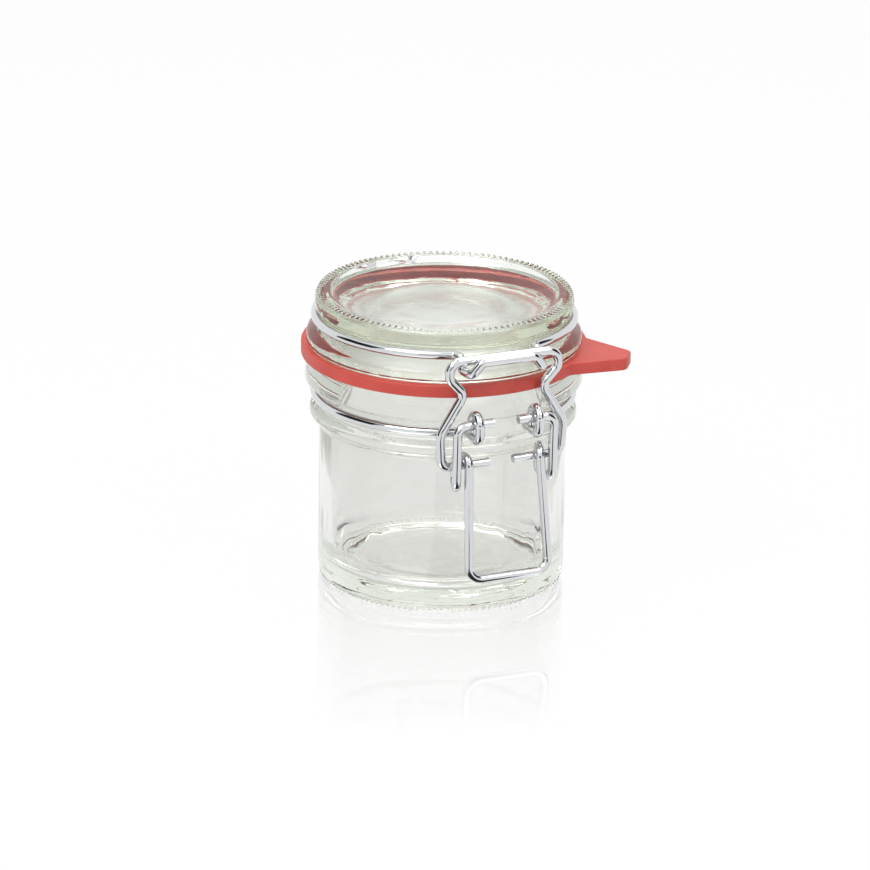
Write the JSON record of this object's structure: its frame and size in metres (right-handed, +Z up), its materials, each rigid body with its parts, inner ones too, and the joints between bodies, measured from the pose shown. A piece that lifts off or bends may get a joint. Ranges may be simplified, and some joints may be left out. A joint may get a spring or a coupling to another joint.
{
  "type": "swing-top preserving jar",
  "caption": "Small round glass preserving jar with a hinged glass lid, a rubber seal with a pull tab and a bent-wire lever clasp.",
  "frame": {"origin": "centre of the base that the jar stands on", "axes": "+Z up the jar's axis, -Y towards the clasp, +Y towards the lid's hinge"},
  "size_m": [0.0779, 0.0866, 0.0768],
  "materials": {
    "glass": "pressed clear soda-lime glass, faint green in thick edges",
    "seal": "satin coral-red rubber",
    "wire": "bright drawn and plated steel wire"
  },
  "bodies": {
    "jar": {"jar_glass": "glass", "neck_wire": "wire"},
    "lid": {"lid_glass": "glass", "seal_ring": "seal", "lid_wire": "wire"},
    "lever": {"clasp_lever": "wire"},
    "link": {"clasp_link": "wire"}
  },
  "joints": [
    {"name": "lid_hinge", "type": "hinge", "parent": "jar", "child": "lid", "pos_m": [0, 0.039, 0.0499], "axis": [-1, 0, 0], "range_deg": [0, 105]},
    {"name": "lever_hinge", "type": "hinge", "parent": "jar", "child": "lever", "pos_m": [0, -0.03919, 0.054], "axis": [-1, 0, 0], "range_deg": [0, 70]},
    {"name": "link_hinge", "type": "hinge", "parent": "lever", "child": "link", "pos_m": [0, -0.03639, 0.0426], "axis": [-1, 0, 0], "range_deg": [-42, 0]}
  ],
  "couplings": [
    {"joint": "link_hinge", "follows": "lever_hinge", "ratio": -0.59}
  ]
}
